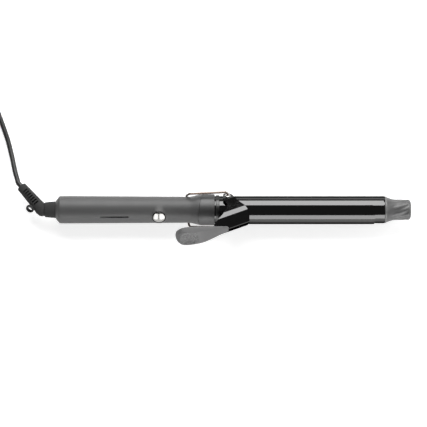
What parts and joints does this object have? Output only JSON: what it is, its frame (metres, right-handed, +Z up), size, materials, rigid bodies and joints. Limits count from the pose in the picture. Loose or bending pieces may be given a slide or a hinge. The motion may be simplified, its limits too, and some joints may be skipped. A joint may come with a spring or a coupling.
{
  "type": "curling iron",
  "caption": "Curling iron with a round barrel, spring clamp with thumb lever, folding wire stand, push button and a swivel cord, coiled and tied, lying at rest",
  "frame": {"origin": "on the floor under the middle of the iron's box, without its cord", "axes": "+X along the barrel towards its cool tip, +Z up, +Y to the side where the coiled cord lies"},
  "size_m": [0.5275, 0.2343, 0.0593],
  "materials": {
    "sleeve": "satin gunmetal",
    "barrel": "glossy black ceramic coating on an aluminium tube",
    "bracket": "glossy black",
    "chrome": "polished",
    "tip": "satin grey, heat resistant",
    "ring": "satin",
    "lens": "dark tinted",
    "dark_plastic": "fine matte",
    "carrier": "matte",
    "board": "green solder mask",
    "parts": "mixed electronic parts",
    "led": "clear",
    "ceramic": "unglazed",
    "aluminium": "as extruded",
    "heater": "insulated heater strip",
    "leads": "heat-proof sleeve",
    "steel": "plain",
    "brass": "plain",
    "rubber": "matte"
  },
  "bodies": {
    "handle": {"handle_sleeve": "sleeve", "front_collar": "sleeve", "collar_ring": "ring", "board_carrier": "carrier", "circuit_board": "board", "board_parts": "parts", "tact_switch": "steel", "button_bezel": "dark_plastic", "indicator_lens": "lens", "indicator_led": "led", "barrel_tube": "barrel", "insulator_bush": "ceramic", "heater_shoe_upper": "aluminium", "heater_shoe_lower": "aluminium", "ptc_heater": "heater", "thermistor": "brass", "thermal_fuse": "steel", "heater_leads": "leads", "tip_insulator": "tip", "cool_tip": "tip", "tip_screw": "steel", "hinge_posts": "bracket", "pivot_eyelets": "chrome", "leaf_spring": "steel", "swivel_bush": "dark_plastic", "contact_brushes": "brass", "cord": "rubber", "cord_coil": "rubber", "cord_tail": "rubber", "cord_tie": "dark_plastic", "plug_body": "dark_plastic", "plug_pins": "brass"},
    "clamp": {"clamp_bracket": "bracket", "clamp_plate": "bracket", "thumb_lever": "sleeve", "lever_screws": "steel"},
    "stand": {"stand_wire": "chrome"},
    "swivel": {"swivel_neck": "dark_plastic", "contact_rings": "brass", "strain_relief": "rubber"},
    "button": {"power_button": "chrome"}
  },
  "joints": [
    {"name": "clamp_hinge", "type": "hinge", "parent": "handle", "child": "clamp", "pos_m": [0.01315, 0.00647, 0.01605], "axis": [0, -0.7263, -0.6874], "range_deg": [0, 22], "stiffness_Nm_per_rad": 0.65, "springref_deg": -13.18, "deforming": ["leaf_spring"]},
    {"name": "stand_hinge", "type": "hinge", "parent": "handle", "child": "stand", "pos_m": [0.01315, 0.00647, 0.01605], "axis": [0, -0.7263, -0.6874], "range_deg": [0, 100]},
    {"name": "cord_swivel", "type": "hinge", "parent": "handle", "child": "swivel", "pos_m": [-0.17, 0.00647, 0.01605], "axis": [1, 0, 0], "continuous": true},
    {"name": "button_press", "type": "slide", "parent": "handle", "child": "button", "axis": [0, 0.6874, -0.7263], "range_m": [0, 0.0008], "stiffness_N_per_m": 1200, "springref_m": -0.0005}
  ]
}
